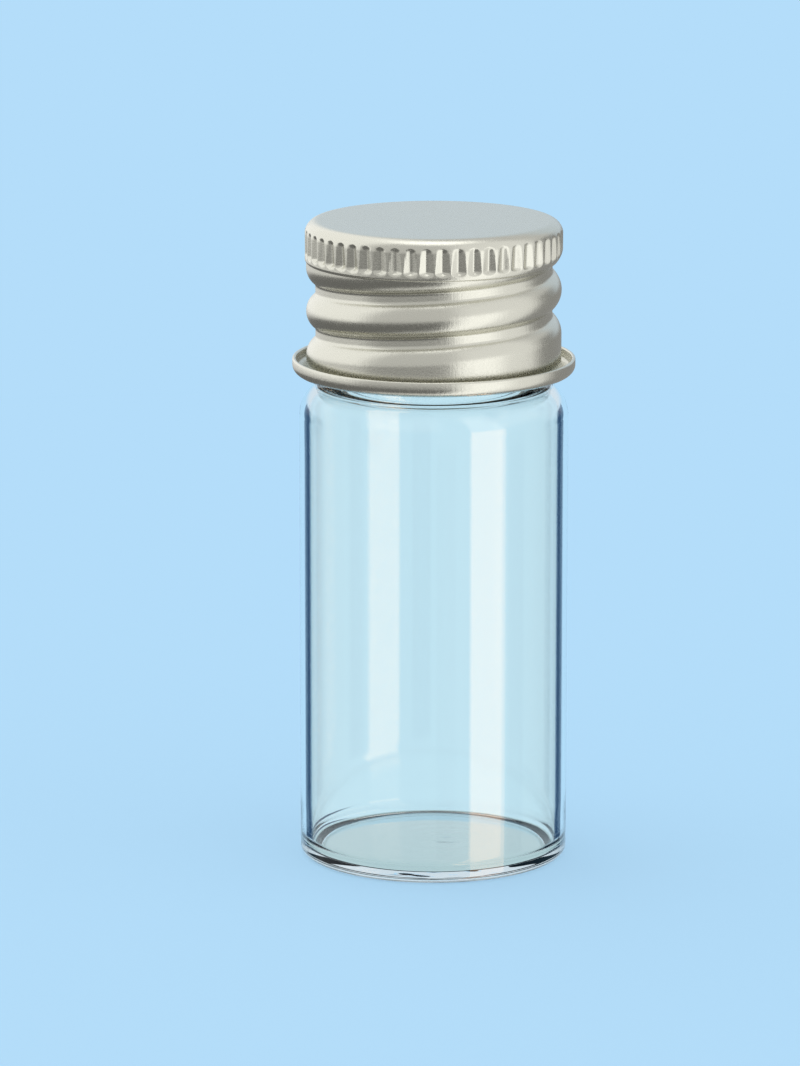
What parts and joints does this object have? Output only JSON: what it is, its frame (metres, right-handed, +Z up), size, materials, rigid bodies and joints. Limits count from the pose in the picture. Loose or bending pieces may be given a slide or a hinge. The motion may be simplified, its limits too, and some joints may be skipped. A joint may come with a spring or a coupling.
{
  "type": "glass sample vial",
  "caption": "Small clear glass sample vial with a short threaded neck, closed by a rolled aluminium screw cap with a knurled band, a rolled thread and a curled hem over a sealing liner.",
  "frame": {"origin": "on the vial's axis, in the plane of the ring that it stands on", "axes": "+Z up along the vial's axis towards the cap, -Y towards the viewer's side, +X to the viewer's right"},
  "size_m": [0.023, 0.023, 0.0529],
  "materials": {
    "clear_glass": "fire-polished clear",
    "liner": "matte",
    "cap_metal": "satin"
  },
  "bodies": {
    "vial": {"glass_vial": "clear_glass"},
    "liner": {"cap_liner": "liner"},
    "cap": {"screw_cap": "cap_metal"}
  },
  "joints": [
    {"name": "cap_lift", "type": "slide", "parent": "vial", "child": "liner", "axis": [0, 0, 1], "range_m": [0, 0.0144]},
    {"name": "cap_turn", "type": "hinge", "parent": "liner", "child": "cap", "pos_m": [0, 0, 0.05], "axis": [0, 0, 1], "range_deg": [0, 1440]}
  ],
  "couplings": [
    {"joint": "cap_lift", "follows": "cap_turn", "m_per_rad": 0.00057296}
  ]
}
